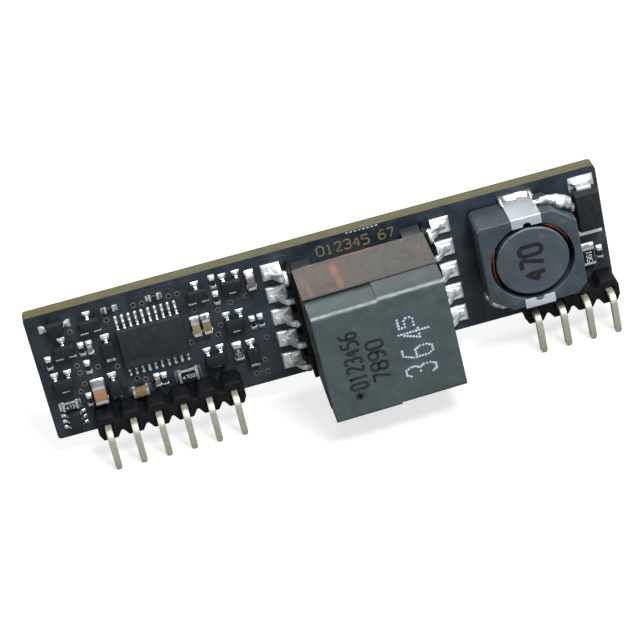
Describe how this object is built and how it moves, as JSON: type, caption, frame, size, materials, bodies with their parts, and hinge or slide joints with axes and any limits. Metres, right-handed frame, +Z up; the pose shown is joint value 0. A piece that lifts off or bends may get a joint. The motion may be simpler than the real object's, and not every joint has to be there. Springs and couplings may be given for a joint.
{
  "type": "poe powered device module",
  "caption": "Power module on edge: circuit board with a ferrite transformer, a shielded inductor, a controller chip, small surface-mount parts and two right-angle pin headers.",
  "frame": {"origin": "middle of the row of pin legs, on the plane where the header bodies and the board's lower edge stand on a host board", "axes": "+X along the board from the six-way header to the four-way header, -Y out of the component side, +Z up from the host board"},
  "size_m": [0.057, 0.0144, 0.0167],
  "materials": {
    "board": "satin",
    "header_plastic": "satin",
    "pin_plating": "satin",
    "tinned_metal": "satin",
    "solder": "gloss",
    "package": "matte",
    "resistor_body": "gloss",
    "capacitor_body": "satin",
    "ferrite": "matte",
    "inductor_ferrite": "matte",
    "bobbin_plastic": "satin",
    "copper": "gloss",
    "tape": "gloss"
  },
  "bodies": {
    "root": {"ceramic_capacitor_bodies": "capacitor_body", "ceramic_capacitor_caps": "tinned_metal", "ceramic_capacitor_solder": "solder", "chip_resistor_bodies": "resistor_body", "chip_resistor_caps": "tinned_metal", "chip_resistor_solder": "solder", "circuit_board": "board", "controller_body": "package", "controller_leads": "tinned_metal", "controller_solder": "solder", "dual_transistor_body": "package", "dual_transistor_leads": "tinned_metal", "dual_transistor_solder": "solder", "header_body_left": "header_plastic", "header_body_right": "header_plastic", "header_pin_joints": "solder", "header_pins_left": "pin_plating", "header_pins_right": "pin_plating", "inductor_base": "bobbin_plastic", "inductor_clip_lower": "tinned_metal", "inductor_clip_upper": "tinned_metal", "inductor_coil": "copper", "inductor_drum": "inductor_ferrite", "inductor_ring": "inductor_ferrite", "inductor_solder": "solder", "inductor_wire_ends": "tinned_metal", "marked_resistor_bodies": "resistor_body", "marked_resistor_caps": "tinned_metal", "marked_resistor_solder": "solder", "output_diode_body": "package", "output_diode_leads": "tinned_metal", "output_diode_solder": "solder", "small_diode_bodies": "package", "small_diode_leads": "tinned_metal", "small_diode_solder": "solder", "transformer_bobbin": "bobbin_plastic", "transformer_core_left": "ferrite", "transformer_core_right": "ferrite", "transformer_leads": "tinned_metal", "transformer_solder": "solder", "transformer_tape": "tape", "transformer_winding": "copper", "transformer_wire_wraps": "tinned_metal", "transistor_bodies": "package", "transistor_leads": "tinned_metal", "transistor_solder": "solder"}
  },
  "joints": []
}
